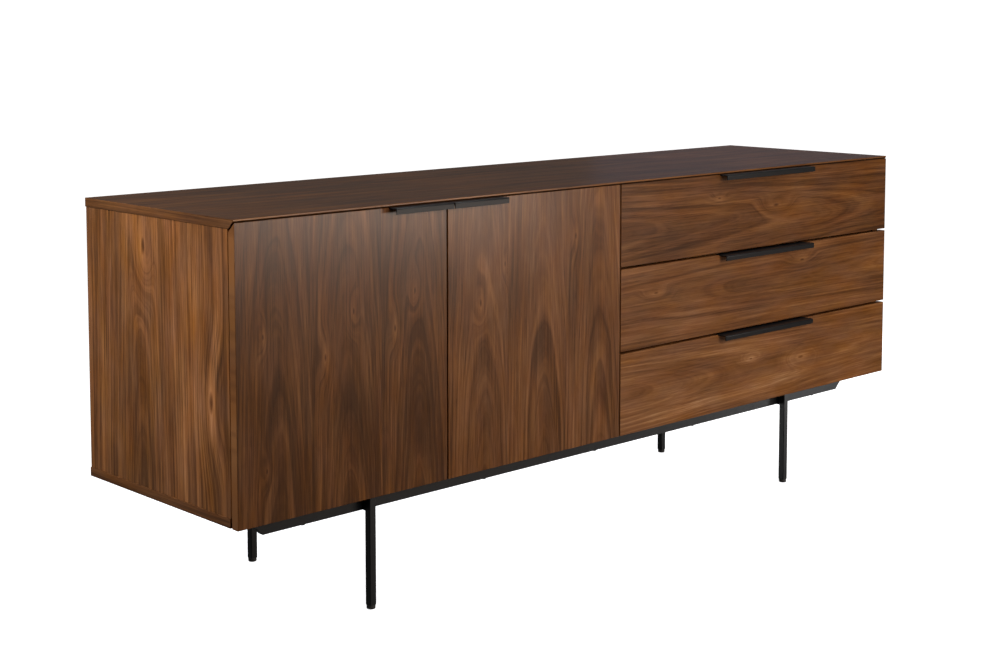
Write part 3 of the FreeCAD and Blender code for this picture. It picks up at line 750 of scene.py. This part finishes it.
cove.visible_shadow = False
cove_paint, cove_shader = new_material("matt_white_cove_paint", Roughness=0.9,
                                       Specular_IOR_Level=0.0, Emission_Strength=1.0)
cove_shader.inputs["Base Color"].default_value = hex_linear("#e6e6e6")
cove_shader.inputs["Emission Color"].default_value = hex_linear("#ffffff")
cove_mesh.materials.append(cove_paint)
print("cove ready,", COVE_RADIUS * 2, "metres across")

# %% [markdown]
# Satin walnut looks rich only when it mirrors a dim room. That room is the surround, brightest
# above and behind the case and black in front of it. The view transform is set to Standard, so
# that the white of the cove stays pure white in the picture.

# %% Dim surround
BRIGHT_SIDE = (0.1, 0.55, 0.83)    # up and behind the case
SURROUND_STRENGTH = 0.17           # on the bright side
BLACK_BELOW, FULL_ABOVE = -0.5, 0.8    # cosine of the angle from the bright side

world = bpy.data.worlds.new("dim room")
bpy.context.scene.world = world
world.use_nodes = True
sky = world.node_tree
towards = add(sky, "ShaderNodeVectorMath",
              {0: add(sky, "ShaderNodeTexCoord").outputs["Generated"], 1: BRIGHT_SIDE},
              operation="DOT_PRODUCT").outputs["Value"]
brightness = add(sky, "ShaderNodeMapRange",
                 {0: towards, 1: BLACK_BELOW, 2: FULL_ABOVE, 3: 0.0, 4: SURROUND_STRENGTH})
sky.nodes["Background"].inputs["Color"].default_value = hex_linear("#ffffff")
sky.links.new(brightness.outputs[0], sky.nodes["Background"].inputs["Strength"])
bpy.context.scene.view_settings.view_transform = "Standard"
print("surround ready")

# %% [markdown]
# One large lamp in front does most of the work. It stands only a little higher than the case,
# so the lips of the pulls throw no hard shadow on the fronts. The window light falls on the
# left end, the rear lamp on the top, and the light on the floor stands for what a pale floor
# sends up. These four are left out of the reflections. The gleam on the doors comes from the
# sheen card instead, which shows only in reflections: one light shows the wood, another shows
# the lacquer.

# %% General light
def soft_lamp(name, place, aim, size, power, spread=180, height=None, colour="#ffffff"):
    """Area lamp at place, facing aim; a small spread in degrees keeps its beam narrow."""
    lamp = bpy.data.lights.new(name, "AREA")
    lamp.shape = "RECTANGLE"
    lamp.size = size
    lamp.size_y = height or size
    lamp.energy = power
    lamp.color = hex_linear(colour)[:3]
    lamp.spread = math.radians(spread)
    holder = bpy.data.objects.new(name, lamp)
    holder.location = place
    holder.rotation_euler = (Vector(aim) - Vector(place)).to_track_quat("-Z", "Y").to_euler()
    bpy.context.scene.collection.objects.link(holder)
    return holder


window_light = soft_lamp("window light", (-2.1, 0.2, 1.3), (-0.9, 0.0, 0.8), 0.6, 10.5,
                         spread=90, colour="#e2eeff")
rear_lamp = soft_lamp("rear right lamp", (1.9, 0.9, 1.7), (1.0, 0.1, 0.7), 1.0, 22)
front_lamp = soft_lamp("front lamp", (-0.2, -2.8, 1.25), (-0.1, -0.2, 0.6), 1.3, 57)
floor_light = soft_lamp("floor light", (1.0, -1.2, 0.03), (0.7, -0.2, 0.4), 1.0, 4)
for lamp in (window_light, rear_lamp, front_lamp, floor_light):
    lamp.visible_glossy = False
sheen = soft_lamp("sheen card", (1.08, -2.6, 0.54), (-0.6, -0.2, 0.6), 1.5, 29, height=0.45,
                  colour="#ffefe2")
sheen.visible_diffuse = False
print("general light ready")

# %% [markdown]
# A part that would vanish or look flat in this light gets a small lamp of its own, linked to it
# alone. Black steel has three: the low card for the underframe, the leg card, which lights the
# front right leg from behind, and the pull lamp high above the pulls. The side card lights the
# left side panel and also reaches its front edge, behind the door. The top card gives the top
# its pale, bluish gloss at the far end, and shows only in reflections.

# %% Linked lamps
low_card = soft_lamp("low card", (1.6, -1.0, 0.1), (0.6, -0.2, 0.1), 0.4, 2.5)
leg_card = soft_lamp("leg card", (-0.6, 0.75, 0.1), (0.59, -0.16, 0.1), 0.4, 2.5)
pull_lamp = soft_lamp("pull lamp", (0.2, -1.0, 2.6), (0.2, -0.22, 0.6), 0.8, 25)
side_card = soft_lamp("side card", (-2.3, -1.4, 1.3), (-0.9, -0.1, 0.6), 0.6, 18)
top_card = soft_lamp("top card", (4.2, 2.8, 1.3), (0.9, 0.2, 0.71), 1.5, 0.9, colour="#cbd3ff")
top_card.visible_diffuse = False
top_card.visible_camera = False
receivers = {
    side_card: ["left_side_panel"],
    top_card: ["top_panel"],
    low_card: [node for node in parts if slots[node] in ("frame_steel", "glide_plastic")],
    leg_card: ["front_right_leg"],
    pull_lamp: [node for node in parts if slots[node] == "pull_steel"],
}
for lamp, nodes in receivers.items():
    lit = bpy.data.collections.new(lamp.name + " receivers")
    for node in nodes:
        lit.objects.link(parts[node])
    lamp.light_linking.receiver_collection = lit
print(len(receivers), "linked lamps ready")

# %% [markdown]
# The camera stands to the left of the case at about standing height and looks slightly down.
# Its lens is a short telephoto, and the picture is shifted down a little instead of tilting
# the camera further, which keeps upright edges upright.

# %% Camera
CAMERA_PLACE = (-2.4021, -2.4132, 1.0282)
CAMERA_TURN = math.radians(43.442)     # towards +X from straight ahead
CAMERA_TILT = math.radians(-4.909)
FOCAL_PIXELS = 1686.67                 # for an image 1000 pixels wide
IMAGE_WIDTH = 1000
SHIFT_PIXELS = 170.0

lens = bpy.data.cameras.new("camera")
lens.sensor_width = 36.0
lens.lens = FOCAL_PIXELS * lens.sensor_width / IMAGE_WIDTH
lens.shift_y = -SHIFT_PIXELS / IMAGE_WIDTH
lens.clip_start = 0.05
camera = bpy.data.objects.new("camera", lens)
camera.matrix_world = (Matrix.Translation(CAMERA_PLACE)
                       @ Matrix.Rotation(-CAMERA_TURN, 4, "Z")
                       @ Matrix.Rotation(math.pi / 2 + CAMERA_TILT, 4, "X"))
bpy.context.scene.collection.objects.link(camera)
bpy.context.scene.camera = camera
print("lens", round(lens.lens, 2), "mm")
